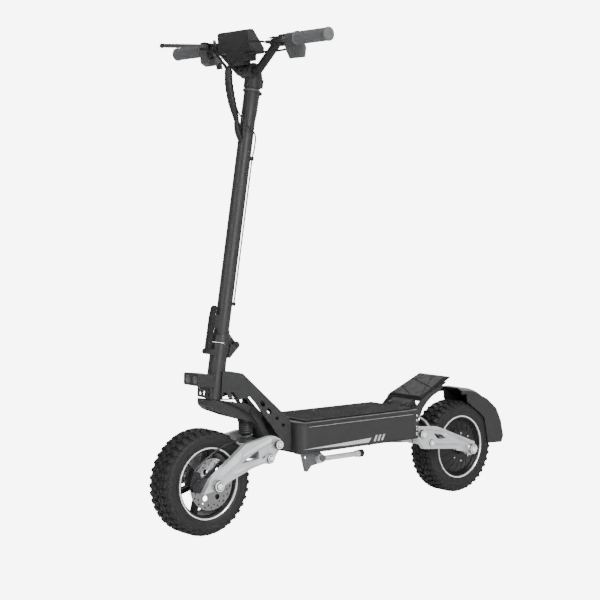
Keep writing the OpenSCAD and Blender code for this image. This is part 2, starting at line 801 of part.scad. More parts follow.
// Drilled brake disc in a plane of constant y.
module rotor(x, y) {
    difference() {
        rod_y([x, axle_z], 65, y, y + 2);
        rod_y([x, axle_z], 14, y - 5, y + 5);
        for (a = [0 : 20 : 340]) for (k = [0, 1]) translate([x, 0, axle_z]) rotate([0, a + 10 * k, 0])
            rod_y([52 + 7 * k, 0], 2.2, y - 5, y + 5);
        for (a = [0 : 60 : 300]) translate([x, 0, axle_z]) rotate([0, a, 0])
            rod_y([38, 0], 7, y - 5, y + 5);
    }
}

module front_rotor() {
    color(silver) rotor(front_x, 44.8);
}

module rear_rotor() {
    color(silver) rotor(rear_x, -50);
}

// Shock absorbers. The frame puts the lower eye at the origin with the upper eye on +z.
module shock_at(low, top) {
    d = top - low;
    translate([low[0], 0, low[1]]) rotate([0, atan2(d[0], d[1]), 0]) children();
}

module eye(r_out, bore, z) {
    translate([0, 10, z]) rotate([90, 0, 0]) difference() {
        cylinder(r = r_out, h = 20);
        translate([0, 0, -1]) cylinder(r = bore, h = 22);
    }
}

// Damper body, from its top eye down over the rod.
module shock_body(l) {
    color(black) {
        eye(11, 5 + run, l);
        difference() {
            union() {
                translate([0, 0, l - 22]) cylinder(r = 9, h = 13);
                translate([0, 0, l - 26]) cylinder(r = 20, h = 5);
                translate([0, 0, 36]) cylinder(r = 12, h = l - 60);
            }
            translate([0, 0, 30]) cylinder(r = 5 + run, h = l - 60);
            translate([0, 0, 42]) cylinder(r = 9, h = l - 74);
        }
    }
}

module shock_rod(l) {
    color(silver) {
        eye(11, 5.8, 0);
        translate([0, 0, 10]) cylinder(r = 9, h = 6);
        translate([0, 0, 12]) cylinder(r = 20, h = 4);
        translate([0, 0, 14]) cylinder(r = 5, h = l - 60);
    }
}

// Stacked rings stand in for the coil at its true outer size.
module shock_spring(l) {
    low = 16 + wire_d / 2;
    high = l - 26 - wire_d / 2;
    turns = 5;
    color(grey) for (i = [0 : turns]) translate([0, 0, low + (high - low) * i / turns])
        rotate_extrude() translate([(coil_d - wire_d) / 2, 0]) circle(r = wire_d / 2, $fn = 24);
}

front_l = norm(front_top - front_eye);
rear_l = norm(rear_top - rear_eye);

module front_shock_body() {
    shock_at(front_eye, front_top) shock_body(front_l);
}
module front_shock_rod() {
    shock_at(front_eye, front_top) shock_rod(front_l);
}
module front_spring() {
    shock_at(front_eye, front_top) shock_spring(front_l);
}
module rear_shock_body() {
    shock_at(rear_eye, rear_top) shock_body(rear_l);
}
module rear_shock_rod() {
    shock_at(rear_eye, rear_top) shock_rod(rear_l);
}
module rear_spring() {
    shock_at(rear_eye, rear_top) shock_spring(rear_l);
}

module rear_arms() {
    color(silver) {
        difference() {
            union() {
                both() slab(64, 14) difference() {
                    union() {
                        polygon([[-210, 190], [-220, 210], [-231, 215], [-298, 209], [-452, 152],
                            [-458, 118], [-378, 133], [-374, 139], [-243, 151]]);
                        translate(rear_pivot) circle(r = 15);
                        translate([rear_x, axle_z]) circle(r = 19);
                    }
                    polygon([[-276, 196], [-299, 173], [-344, 175]]);
                }
                both() rod_y(rear_eye, 10, 11.5, 66);
            }
            rod_y(rear_pivot, 6 + run, -90, 90);
            rod_y(rear_eye, 5, -90, 90);
            rod_y([rear_x, axle_z], 7, -90, 90);
        }
    }
    color(grey) {
        rod_y(rear_eye, 5, -83, 83);
        both() rod_y(rear_eye, 10, 78, 83);
    }
}

module rear_axle() {
    color(silver) {
        rod_y([rear_x, axle_z], 7, -94, 94);
        both() {
            rod_y([rear_x, axle_z], 11, 56, 64);
            rod_y([rear_x, axle_z], 14, 78, 80.5);
            rod_y([rear_x, axle_z], 11, 80.5, 90);
        }
    }
    color(black) cable(route_motor_cable, 3.4, 3);
}

module rear_caliper() {
    color(grey) mirror([0, 1, 0]) {
        caliper(rear_x, 205, 41, 60, 49);
        difference() {
            slab(59, 5) polygon([[-458, 118], [-492, 100], [-500, 120], [-496, 142], [-462, 150]]);
            rod_y([rear_x, axle_z], 20, 40, 80);
        }
        cable(route_rear_hose, 2.2, 3);
    }
}

// Fender about the rear axle: a curved sheet with side lips and panels, and the stay on its right.
fender_r = 172;
module fender() {
    color(black) {
        translate([rear_x, 0, axle_z]) rotate([90, 0, 0]) rotate([0, 0, 88]) rotate_extrude(angle = 90)
            polygon([[fender_r - 18, -46.5], [fender_r - 8, -46.5], [fender_r, -30], [fender_r, 30],
                [fender_r - 8, 46.5], [fender_r - 18, 46.5], [fender_r - 18, 43.5],
                [fender_r - 10, 43.5], [fender_r - 3, 28], [fender_r - 3, -28],
                [fender_r - 10, -43.5], [fender_r - 18, -43.5]]);
        both() slab(44.2, 3) polygon([[-450, 286], [-452, 264], [-490, 240], [-528, 212], [-536, 179],
            [-547, 134], [-606, 131], [-614, 150], [-602, 196], [-580, 236], [-540, 266], [-496, 286]]);
        slab(-70, 28) polygon([[-594, 148], [-596, 168], [-576, 170], [-574, 150]]);
        slab(-70, 4) polygon([[-596, 146], [-598, 176], [-560, 172], [-458.5, 146], [-458.5, 125],
            [-566, 148]]);
    }
}

module rear_motor() {
    color(dark) {
        turned(rear_x) barrel_profile();
        difference() {
            union() {
                turned(rear_x) polygon([[0, -40], [46, -40], [70, -30], [rim_d / 2 - 7, -24],
                    [rim_d / 2 - 7, 24], [70, 30], [46, 40], [0, 40]]);
                rod_y([rear_x, axle_z], 22, -48, 50);
                rod_y([rear_x, axle_z], 30, -48, -38);
                rod_y([rear_x, axle_z], 14, -52, -46);
            }
            rod_y([rear_x, axle_z], 7 + run, -60, 60);
        }
    }
}

// Kickstand leg, stowed along the deck with its pivot leaning outwards.
module kickstand_leg() {
    translate(kick_pivot) {
        color(grey) difference() {
            union() {
                rotate([kick_lean - 90, 0, 0]) cylinder(r = 11, h = 15);
                translate([0, 7.5 * cos(kick_lean), 7.5 * sin(kick_lean)]) rotate([0, -90, 0])
                    cylinder(r = 7, h = kick_l - 20);
            }
            rotate([kick_lean - 90, 0, 0]) translate([0, 0, -1]) cylinder(r = 5 + run, h = 17);
        }
        color(black) translate([-kick_l + 24, 7.5 * cos(kick_lean), 7.5 * sin(kick_lean)])
            rotate([0, -90, 0]) cylinder(r = 9, h = 24);
    }
}

deck_shell();
deck_plate();
tread_pads();
bottom_cover();
battery_pack();
motor_controller();
deck_screws();
neck_plates();
neck_web();
head_tube();
headset_bearings();
headlight_housing();
headlight_lenses();
tail_bracket();
tail_plate();
tail_light();
kickstand_bracket();
charge_port();
charge_cap();
fork();
fork_hose();
hinge_base();
fork_bolts();
stem_tube();
fold_hook();
bar_clamp();
handlebar();
grips();
display_housing();
display_glass();
lever_perches();
control_pods();
control_cables();
cable_guides();
latch_lever();
brake_lever_left();
brake_lever_right();
throttle_lever();
horn_button();
front_arms();
front_axle();
front_caliper();
front_tyre();
front_rim();
front_bearings();
front_rotor();
front_shock_body();
front_shock_rod();
front_spring();
rear_arms();
rear_axle();
rear_caliper();
fender();
rear_tyre();
rear_motor();
rear_rotor();
rear_shock_body();
rear_shock_rod();
rear_spring();
kickstand_leg();
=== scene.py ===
"""Electric kick scooter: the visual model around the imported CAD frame."""

import json
import math
import bmesh
import bpy
from mathutils import Matrix, Vector


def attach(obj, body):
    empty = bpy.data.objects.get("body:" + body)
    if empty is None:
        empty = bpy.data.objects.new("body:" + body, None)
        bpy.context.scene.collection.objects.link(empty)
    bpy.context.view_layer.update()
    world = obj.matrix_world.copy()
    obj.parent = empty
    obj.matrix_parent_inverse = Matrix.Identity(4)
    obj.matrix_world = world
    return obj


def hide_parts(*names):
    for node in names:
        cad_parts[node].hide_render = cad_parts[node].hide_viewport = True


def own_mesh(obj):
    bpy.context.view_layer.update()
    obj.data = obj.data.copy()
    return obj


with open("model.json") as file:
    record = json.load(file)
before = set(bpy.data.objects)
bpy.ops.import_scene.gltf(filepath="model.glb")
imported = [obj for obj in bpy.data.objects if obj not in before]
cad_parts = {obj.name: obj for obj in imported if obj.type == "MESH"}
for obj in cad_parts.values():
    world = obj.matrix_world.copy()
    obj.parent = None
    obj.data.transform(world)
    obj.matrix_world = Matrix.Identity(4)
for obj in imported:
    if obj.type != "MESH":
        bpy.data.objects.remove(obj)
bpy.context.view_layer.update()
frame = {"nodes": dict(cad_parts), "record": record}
RECORD = frame["record"]
BODY_OF = {n: b for b, ns in RECORD["behaviour"]["bodies"].items() for n in ns}
SLOT_OF = {s["node"]: s["material_slot"] for s in RECORD["subparts"]}
RAD = math.radians
TURN = 2 * math.pi

# ---------------------------------------------------------------- camera, floor, light


def make_camera():
    yaw, pitch, roll = RAD(-130.94), RAD(-3.426), RAD(0.50)
    forward = Vector((math.cos(yaw) * math.cos(pitch), math.sin(yaw) * math.cos(pitch), math.sin(pitch)))
    level = Vector((math.sin(yaw), -math.cos(yaw), 0))
    right = level * math.cos(roll) + level.cross(forward) * math.sin(roll)
    up = right.cross(forward)
    data = bpy.data.cameras.new("camera")
    data.sensor_width, data.lens = 36, 83.94
    cam = bpy.data.objects.new("camera", data)
    placed = Matrix((right, up, -forward)).transposed().to_4x4()
    placed.translation = (2.5692, 2.7831, 0.7988)
    cam.matrix_world = placed
    bpy.context.scene.collection.objects.link(cam)
    bpy.context.scene.camera = cam


def area_light(name, at, aim, size, power):
    data = bpy.data.lights.new(name, "AREA")
    data.shape = "RECTANGLE"
    data.size, data.size_y = size, size
    data.energy = power
    lamp = bpy.data.objects.new(name, data)
    lamp.location = at
    lamp.rotation_euler = (Vector(aim) - Vector(at)).to_track_quat("-Z", "Y").to_euler()
    bpy.context.scene.collection.objects.link(lamp)


def make_stage():
    """A pale dish: flat under the object and curving up all round, so no horizon shows. Its paper glows only
    towards the camera, so the background is white and the glow doesn't light the object."""
    flat, bend, below, count = 6.0, 2.5, 0.0005, 96
    profile = [(2.5, 0), (4.5, 0), (flat, 0)]
    profile += [(flat + bend * math.sin(RAD(a)), bend - bend * math.cos(RAD(a))) for a in range(10, 91, 10)]
    profile += [(flat + bend, 2 * bend)]
    verts = [(r * math.cos(TURN * k / count), r * math.sin(TURN * k / count), z - below)
             for r, z in profile for k in range(count)]
    verts.append((0, 0, -below))
    faces = [(len(verts) - 1, k, (k + 1) % count) for k in range(count)]
    for i in range(len(profile) - 1):
        for k in range(count):
            a, b = i * count + k, i * count + (k + 1) % count
            faces.append((a, a + count, b + count, b))
    mesh = bpy.data.meshes.new("stage")
    mesh.from_pydata(verts, [], faces)
    for p in mesh.polygons:
        p.use_smooth = True
    floor = bpy.data.objects.new("stage", mesh)
    bpy.context.scene.collection.objects.link(floor)
    mat = bpy.data.materials.new("stage_paper")
    mat.use_nodes = True
    tree = mat.node_tree
    paper = tree.nodes["Principled BSDF"]
    paper.inputs["Base Color"].default_value = (0.8, 0.8, 0.8, 1)
    paper.inputs["Roughness"].default_value = 0.9
    glow = tree.nodes.new("ShaderNodeEmission")
    glow.inputs["Strength"].default_value = 7.5
    path = tree.nodes.new("ShaderNodeLightPath")
    mix = tree.nodes.new("ShaderNodeMixShader")
    tree.links.new(path.outputs["Is Camera Ray"], mix.inputs[0])
    tree.links.new(paper.outputs[0], mix.inputs[1])
    tree.links.new(glow.outputs[0], mix.inputs[2])
    tree.links.new(mix.outputs[0], tree.nodes["Material Output"].inputs["Surface"])
    mesh.materials.append(mat)


def make_light():
    world = bpy.data.worlds.new("soft")
    world.use_nodes = True
    sky = world.node_tree.nodes["Background"]
    sky.inputs["Color"].default_value = (1, 1, 1, 1)
    sky.inputs["Strength"].default_value = 0.42
    bpy.context.scene.world = world
    area_light("key", (0.6, 3.6, 3.4), (0, 0, 0.4), 1.8, 260)
    area_light("side", (1.6, 4.2, 1.0), (0, 0, 0.35), 1.6, 90)
    area_light("fill", (4.2, 0.6, 1.6), (0.1, 0, 0.5), 1.6, 55)
    area_light("back", (-3.0, -2.0, 2.8), (0, 0, 0.5), 2.0, 90)


make_camera()
make_stage()
make_light()

# ---------------------------------------------------------------- materials


def link(tree, a, b):
    tree.links.new(a, b)


def node(tree, kind, **values):
    n = tree.nodes.new(kind)
    for key, value in values.items():
        n.inputs[key.replace("_", " ")].default_value = value
    return n


def material(name, base, rough, metal=0.0, coat=0.0, vary=0.15, patch=35.0, grain=1400.0, bump=0.12,
             rough_vary=0.10, worn=None, wear_mm=0.7, stretch=(1, 1, 1), specular=0.3):
    """A solid finish: mottled colour and gloss, fine grain in relief, and edges worn to another colour."""
    mat = bpy.data.materials.new(name)
    mat.use_nodes = True
    tree = mat.node_tree
    shader = tree.nodes["Principled BSDF"]
    shader.inputs["Metallic"].default_value = metal
    shader.inputs["Coat Weight"].default_value = coat
    shader.inputs["Specular IOR Level"].default_value = specular
    shader.inputs["Coat Roughness"].default_value = 0.12
    coords = tree.nodes.new("ShaderNodeTexCoord")
    mapping = node(tree, "ShaderNodeMapping", Scale=stretch)
    link(tree, coords.outputs["Object"], mapping.inputs["Vector"])
    broad = node(tree, "ShaderNodeTexNoise", Scale=patch, Detail=5.0, Roughness=0.6)
    fine = node(tree, "ShaderNodeTexNoise", Scale=grain, Detail=2.0)
    for n in (broad, fine):
        link(tree, mapping.outputs["Vector"], n.inputs["Vector"])
    tint = tree.nodes.new("ShaderNodeMix")
    tint.data_type = "RGBA"
    low = [c * (1 - vary) for c in base] + [1]
    high = [min(1, c * (1 + vary) + 0.002) for c in base] + [1]
    tint.inputs[6].default_value, tint.inputs[7].default_value = low, high
    link(tree, broad.outputs["Fac"], tint.inputs[0])
    colour = tint.outputs[2]
    gloss = node(tree, "ShaderNodeMapRange", From_Min=0.3, From_Max=0.7, To_Min=max(0.03, rough - rough_vary),
                 To_Max=min(1, rough + rough_vary))
    link(tree, broad.outputs["Fac"], gloss.inputs["Value"])
    if worn:
        edge = tree.nodes.new("ShaderNodeBevel")
        edge.samples = 4
        edge.inputs["Radius"].default_value = wear_mm / 1000
        geometry = tree.nodes.new("ShaderNodeNewGeometry")
        dot = tree.nodes.new("ShaderNodeVectorMath")
        dot.operation = "DOT_PRODUCT"
        link(tree, edge.outputs["Normal"], dot.inputs[0])
        link(tree, geometry.outputs["Normal"], dot.inputs[1])
        rim = node(tree, "ShaderNodeMapRange", From_Min=0.985, From_Max=0.86, To_Min=0.0, To_Max=1.0)
        link(tree, dot.outputs["Value"], rim.inputs["Value"])
        patchy = node(tree, "ShaderNodeMapRange", From_Min=0.42, From_Max=0.62, To_Min=0.0, To_Max=0.55)
        link(tree, broad.outputs["Fac"], patchy.inputs["Value"])
        both = tree.nodes.new("ShaderNodeMath")
        both.operation = "MULTIPLY"
        link(tree, rim.outputs["Result"], both.inputs[0])
        link(tree, patchy.outputs["Result"], both.inputs[1])
        wear = tree.nodes.new("ShaderNodeMix")
        wear.data_type = "RGBA"
        link(tree, both.outputs["Value"], wear.inputs[0])
        link(tree, colour, wear.inputs[6])
        wear.inputs[7].default_value = list(worn) + [1]
        colour = wear.outputs[2]
    relief = node(tree, "ShaderNodeBump", Strength=bump, Distance=0.0004)
    link(tree, fine.outputs["Fac"], relief.inputs["Height"])
    link(tree, relief.outputs["Normal"], shader.inputs["Normal"])
    link(tree, colour, shader.inputs["Base Color"])
    link(tree, gloss.outputs["Result"], shader.inputs["Roughness"])
    return mat


BARE = (0.16, 0.165, 0.17)
MAT = {
    "frame_black": material("frame_black", (0.019, 0.0192, 0.0200), 0.44, worn=BARE),
    "black_metal": material("black_metal", (0.009, 0.009, 0.0096), 0.34, worn=BARE, wear_mm=0.5),
    "grey_metal": material("grey_metal", (0.085, 0.088, 0.092), 0.42, metal=0.3, worn=(0.3, 0.3, 0.31)),
    "silver_cast": material("silver_cast", (0.60, 0.61, 0.625), 0.40, metal=0.70, grain=700, bump=0.22,
                            worn=(0.75, 0.75, 0.76), wear_mm=0.9),
    "bright_steel": material("bright_steel", (0.58, 0.58, 0.59), 0.26, metal=1.0, worn=(0.8, 0.8, 0.8),
                             stretch=(1, 1, 6)),
    "deck_mat": material("deck_mat", (0.006, 0.006, 0.0065), 0.82, grain=420, bump=0.5),
    "grip_rubber": material("grip_rubber", (0.085, 0.087, 0.09), 0.74, grain=900, bump=0.35),
    "tyre": material("tyre", (0.0105, 0.0106, 0.0112), 0.60, grain=800, bump=0.3, worn=(0.05, 0.05, 0.052)),
    "cable": material("cable", (0.005, 0.005, 0.0055), 0.48, grain=1800),
    "plastic": material("plastic", (0.019, 0.0192, 0.0200), 0.50, grain=1600, bump=0.25, worn=(0.06, 0.06, 0.06)),
    "gloss_black": material("gloss_black", (0.005, 0.005, 0.006), 0.10, coat=0.8, rough_vary=0.03, bump=0.01),
    "lens": material("lens", (0.05, 0.053, 0.058), 0.10, coat=1.0, rough_vary=0.03, bump=0.02),
    "red_lens": material("red_lens", (0.32, 0.008, 0.008), 0.16, coat=0.8, grain=300, bump=0.15),
    "red_button": material("red_button", (0.40, 0.03, 0.025), 0.3, coat=0.5),
    "battery": material("battery", (0.05, 0.09, 0.26), 0.5),
    "polished": material("polished", (0.95, 0.95, 0.95), 0.22, metal=0.35, bump=0.03, vary=0.05),
    "pod_grey": material("pod_grey", (0.055, 0.056, 0.058), 0.5, grain=1500, bump=0.2, worn=(0.12, 0.12, 0.12)),
    "pad_plate": material("pad_plate", (0.022, 0.0225, 0.024), 0.6, grain=500, bump=0.35),
    "rotor": material("rotor", (0.24, 0.24, 0.245), 0.32, metal=1.0, worn=(0.6, 0.6, 0.6), stretch=(1, 6, 1)),
    "coil": material("coil", (0.10, 0.103, 0.107), 0.36, metal=0.6, worn=(0.3, 0.3, 0.3)),
}

# ---------------------------------------------------------------- making pieces


def piece(name, verts, faces, mat, body, cad=(), bevel=0.0, sharp=32, segments=2):
    """Puts a mesh in the scene, riding on its body, in its finish, in place of the CAD nodes it stands for."""
    mesh = bpy.data.meshes.new(name)
    mesh.from_pydata([tuple(v) for v in verts], [], faces)
    bm = bmesh.new()
    bm.from_mesh(mesh)
    bmesh.ops.recalc_face_normals(bm, faces=bm.faces)
    bm.to_mesh(mesh)
    bm.free()
    return dress(bpy.data.objects.new(name, mesh), mat, body, cad, bevel, sharp, segments)


def dress(obj, mat, body, cad, bevel, sharp, segments):
    mesh = obj.data
    mesh.materials.clear()
    mesh.materials.append(MAT[mat])
    mesh.polygons.foreach_set("use_smooth", [True] * len(mesh.polygons))
    bpy.context.scene.collection.objects.link(obj)
    if bevel:
        rounding = obj.modifiers.new("bevel", "BEVEL")
        rounding.width, rounding.segments = bevel, segments
        rounding.limit_method, rounding.angle_limit = "ANGLE", RAD(sharp)
        rounding.use_clamp_overlap = True
        obj.modifiers.new("normals", "WEIGHTED_NORMAL").keep_sharp = True
    else:
        mesh.set_sharp_from_angle(angle=RAD(sharp))
    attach(obj, body)
    if cad:
        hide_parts(*cad)
    return obj


def refined(cad, bevel=0.0007, sharp=32, mat=None, segments=2):
    """A copy of a CAD node with its faces merged and its edges rounded."""
    mesh = frame["nodes"][cad].data.copy()
    bm = bmesh.new()
    bm.from_mesh(mesh)
    bmesh.ops.remove_doubles(bm, verts=bm.verts, dist=2e-6)
    bmesh.ops.dissolve_limit(bm, angle_limit=RAD(0.6), verts=bm.verts, edges=bm.edges)
    bm.to_mesh(mesh)
    bm.free()
    obj = bpy.data.objects.new(cad + "_finish", mesh)
    return dress(obj, mat or SLOT_OF[cad], BODY_OF[cad], (cad,), bevel, sharp, segments)


def basis(at, axis):
    """A frame at a point with its z along the axis."""
    z = Vector(axis).normalized()
    x = Vector((0, 0, 1)).cross(z)
    if x.length < 0.1:
        x = Vector((1, 0, 0)).cross(z)
    x.normalize()
    m = Matrix((x, z.cross(x), z)).transposed().to_4x4()
    m.translation = Vector(at)
    return m


def lathe(profile, at, axis, n=48):
    """A turned shape. The profile is radius and height; points at radius 0 become poles."""
    m = basis(at, axis)
    verts, rings, faces = [], [], []
    for r, h in profile:
        if r < 1e-7:
            rings.append([len(verts)] * n)
            verts.append(m @ Vector((0, 0, h)))
        else:
            rings.append(list(range(len(verts), len(verts) + n)))
            verts += [m @ Vector((r * math.cos(TURN * k / n), r * math.sin(TURN * k / n), h)) for k in range(n)]
    for a, b in zip(rings, rings[1:]):
        for k in range(n):
            face = [a[k], a[(k + 1) % n], b[(k + 1) % n], b[k]]
            face = [v for i, v in enumerate(face) if v not in face[:i]]
            if len(face) > 2:
                faces.append(face)
    return verts, faces


def closed_lathe(profile, at, axis, n):
    """A turned ring: the profile is a closed loop."""
    m = basis(at, axis)
    verts = [m @ Vector((r * math.cos(TURN * k / n), r * math.sin(TURN * k / n), h))
             for r, h in profile for k in range(n)]
    faces, count = [], len(profile)
    for i in range(count):
        j = (i + 1) % count
        faces += [(i * n + k, i * n + (k + 1) % n, j * n + (k + 1) % n, j * n + k) for k in range(n)]
    return verts, faces


def loft(low, high):
    """A solid between two outlines with the same number of points."""
    n = len(low)
    faces = [tuple(range(n)), tuple(range(2 * n - 1, n - 1, -1))]
    faces += [(i, (i + 1) % n, n + (i + 1) % n, n + i) for i in range(n)]
    return [Vector(v) for v in list(low) + list(high)], faces


def prism(outline, y0, y1):
    """A flat plate from an outline of x and z."""
    return loft(*[[(x, y, z) for x, z in outline] for y in (y0, y1)])


def joined(shapes):
    """Several shapes as one list of points and faces."""
    verts, faces = [], []
    for v, f in shapes:
        faces += [tuple(i + len(verts) for i in face) for face in f]
        verts += v
    return verts, faces


def flipped(shape):
    """The same shape on the other side of the scooter."""
    v, f = shape
    return [Vector((p[0], -p[1], p[2])) for p in v], f


def smooth_path(points, steps=8):
    """A smooth curve through the points, with this many steps from one to the next."""
    p = [Vector(q) for q in points]
    out = []
    for i in range(len(p) - 1):
        a, b, c, d = p[max(i - 1, 0)], p[i], p[i + 1], p[min(i + 2, len(p) - 1)]
        for k in range(steps):
            t = k / steps
            out.append(0.5 * (2 * b + (c - a) * t + (2 * a - 5 * b + 4 * c - d) * t * t
                              + (3 * b - a - 3 * c + d) * t ** 3))
    return out + [p[-1]]


def bands(count, n):
    """The faces of a closed tube of count rings with n points each."""
    faces = [(i * n + k, (i + 1) * n + k, (i + 1) * n + (k + 1) % n, i * n + (k + 1) % n)
             for i in range(count - 1) for k in range(n)]
    return faces + [tuple(range(n)), tuple(range(count * n - 1, count * n - n - 1, -1))]


def heading(path, i):
    """The direction of a path at its point i."""
    return (path[min(i + 1, len(path) - 1)] - path[max(i - 1, 0)]).normalized()


def tube(path, r, n=12):
    verts = []
    side = (path[-1] - path[0]).cross(Vector((0.31, 0.9, 0.17))).normalized()
    for i, p in enumerate(path):
        t = heading(path, i)
        side = (side - t * side.dot(t)).normalized()
        up = t.cross(side)
        verts += [p + r * (math.cos(TURN * k / n) * side + math.sin(TURN * k / n) * up) for k in range(n)]
    return verts, bands(len(path), n)


def screw(at, axis, r, h):
    """Head of a socket screw."""
    return lathe([(0, h * 0.35), (r * 0.5, h * 0.35), (r * 0.5, h), (r * 0.84, h), (r, h * 0.8), (r, 0), (0, 0)],
                 at, axis, 20)


def nut(at, axis, r, h):
    """A hexagon nut with a domed end."""
    body = lathe([(0, 0), (r, 0), (r, h * 0.85), (r * 0.86, h), (0, h)], at, axis, 6)
    dome = lathe([(0, h * 0.9), (r * 0.6, h * 0.9), (r * 0.55, h * 1.25), (r * 0.3, h * 1.45), (0, h * 1.5)],
                 at, axis, 24)
    return joined([body, dome])


def mm(*points):
    """Points given in millimetres."""
    return [tuple(c / 1000 for c in p) for p in points]


# ---------------------------------------------------------------- CAD nodes that keep their shape

PLAIN = {"battery_pack", "motor_controller", "headset_bearings", "front_bearings"}
MADE = {"front_tyre", "rear_tyre", "front_spring", "rear_spring", "grips", "control_cables", "headlight_lenses"}
# The width of the rounding on the edges, where it isn't 0.7 mm.
WIDTH = {"deck_shell": 0.0012, "deck_plate": 0.0015, "tread_pads": 0.0012, "bottom_cover": 0.001,
         "neck_plates": 0.0015, "fork": 0.0014, "front_arms": 0.0016, "rear_arms": 0.0016, "stem_tube": 0.0006,
         "fender": 0.0008,
         "display_housing": 0.0022, "control_pods": 0.0022, "brake_lever_left": 0.0016, "brake_lever_right": 0.0016,
         "latch_lever": 0.0014, "bar_clamp": 0.0012, "lever_perches": 0.0012, "hinge_base": 0.0012,
         "rear_motor": 0.0016, "front_rim": 0.0012, "kickstand_leg": 0.001, "front_rotor": 0.0003,
         "rear_rotor": 0.0003, "fork_bolts": 0.0006, "display_glass": 0.0002, "charge_cap": 0.0005}
FINISH = {"fork_bolts": "black_metal", "front_rotor": "rotor", "rear_rotor": "rotor", "front_caliper": "black_metal",
          "rear_caliper": "black_metal", "lever_perches": "black_metal", "control_pods": "pod_grey",
          "kickstand_leg": "silver_cast"}
for cad in sorted(frame["nodes"]):
    if cad in PLAIN:
        obj = frame["nodes"][cad]
        obj.data.materials.clear()
        obj.data.materials.append(MAT[SLOT_OF[cad]])
    elif cad not in MADE:
        refined(cad, WIDTH.get(cad, 0.0007), mat=FINISH.get(cad))

# ---------------------------------------------------------------- wheels

AXLE_Z = 0.133
FRONT_X, REAR_X = 0.481, -0.435
SIDE = (0, 1, 0)


# The tyre's outline over its blocks, as distance from the middle and radius.
CROWN = [(0, 0.1330), (0.026, 0.1329), (0.0335, 0.1299), (0.040, 0.1212)]
PITCHES = 40
BLOCKS = (((-0.0080, 0.0012), (0.0045, 0.0012), (0.0085, 0.0120), (-0.0040, 0.0120)),
          ((0.0000, 0.0140), (0.0120, 0.0140), (0.0075, 0.0252), (-0.0045, 0.0252)),
          ((-0.0060, 0.0272), (0.0085, 0.0272), (0.0060, 0.0395), (-0.0045, 0.0395)))
BLOCK_HEIGHT, BLOCK_TAPER, TREAD_RADIUS = 0.0062, 0.86, 0.131


def crown_radius(y):
    y = abs(y)
    for (y0, r0), (y1, r1) in zip(CROWN, CROWN[1:]):
        if y <= y1:
            return r0 + (r1 - r0) * (y - y0) / (y1 - y0)
    return CROWN[-1][1]


def on_wheel(x, r, angle, y, off=0.0):
    """A point at a radius and angle about the axle at x, shifted along the tangent."""
    c, s = math.cos(angle), math.sin(angle)
    return (x + r * c - off * s, y, AXLE_Z + r * s + off * c)


def tread_block(x, angle, corners):
    """A block on the tread; corners are arc length and y, in metres."""
    def ring_of(lift, shrink):
        cs, cy = sum(c[0] for c in corners) / 4, sum(c[1] for c in corners) / 4
        out = []
        for s, y in corners:
            s, y = cs + (s - cs) * shrink, cy + (y - cy) * shrink
            out.append(on_wheel(x, crown_radius(y) - lift, angle + s / TREAD_RADIUS, y))
        return out
    return loft(ring_of(BLOCK_HEIGHT, 1.0), ring_of(0.0, BLOCK_TAPER))


def tyre(name, x, body, cad):
    """Carcass with two raised rings on each side, three rows of blocks on each half, and shoulder lugs."""
    half = [(0.0895, 0.0345), (0.0925, 0.0372), (0.0975, 0.0392), (0.1050, 0.0411), (0.1125, 0.0415),
            (0.1180, 0.0408), (0.1225, 0.0388), (0.1258, 0.0345), (0.1276, 0.0280), (0.1284, 0.0150)]
    inner = [(0.1220, 0.0), (0.1205, 0.024), (0.1110, 0.034), (0.0985, 0.033), (0.0890, 0.027)]
    profile = half + [(0.1286, 0.0)] + [(r, -y) for r, y in reversed(half)]
    profile += [(r, -y) for r, y in reversed(inner)] + inner[1:]
    parts = [closed_lathe(profile, (x, 0, AXLE_Z), SIDE, 144)]
    for r, y in ((0.1005, 0.0402), (0.1150, 0.0414)):
        for s in (-1, 1):
            loop = [(r - 0.0008, s * (y - 0.001)), (r - 0.0005, s * (y + 0.0006)), (r + 0.0005, s * (y + 0.0006)),
                    (r + 0.0008, s * (y - 0.001))]
            parts.append(closed_lathe(loop, (x, 0, AXLE_Z), SIDE, 144))
    for k in range(PITCHES):
        for s in (-1, 1):
            a = (TURN * k + (math.pi if s > 0 else 0)) / PITCHES
            parts += [tread_block(x, a, [(u, s * y) for u, y in block]) for block in BLOCKS]
            foot, head, tuck = 0.1165 if k % 2 else 0.1200, 0.1268, 0.95
            parts.append(loft(*[[on_wheel(x, r, a + u / r, s * y) for r, u, y in (
                (foot, -half_lug, y), (foot, half_lug, y), (head, half_lug, y * tuck), (head, -half_lug, y * tuck))]
                for y, half_lug in ((0.0385, 0.0050), (0.0416, 0.0038))]))
    v, f = joined(parts)
    piece(name, v, f, "tyre", body, (cad,), sharp=28)


tyre("front_tyre_treaded", FRONT_X, "front_wheel", "front_tyre")
tyre("rear_tyre_treaded", REAR_X, "rear_wheel", "rear_tyre")
for name, x, body in (("front_rim_lip", FRONT_X, "front_wheel"), ("rear_rim_lip", REAR_X, "rear_wheel")):
    lip = [(0.0870, 0.0345), (0.0873, 0.0370), (0.0888, 0.0382), (0.0904, 0.0376), (0.0908, 0.0350), (0.0885, 0.0330)]
    v, f = joined([closed_lathe([(r, s * y) for r, y in lip], (x, 0, AXLE_Z), SIDE, 128) for s in (-1, 1)])
    piece(name, v, f, "polished", body)

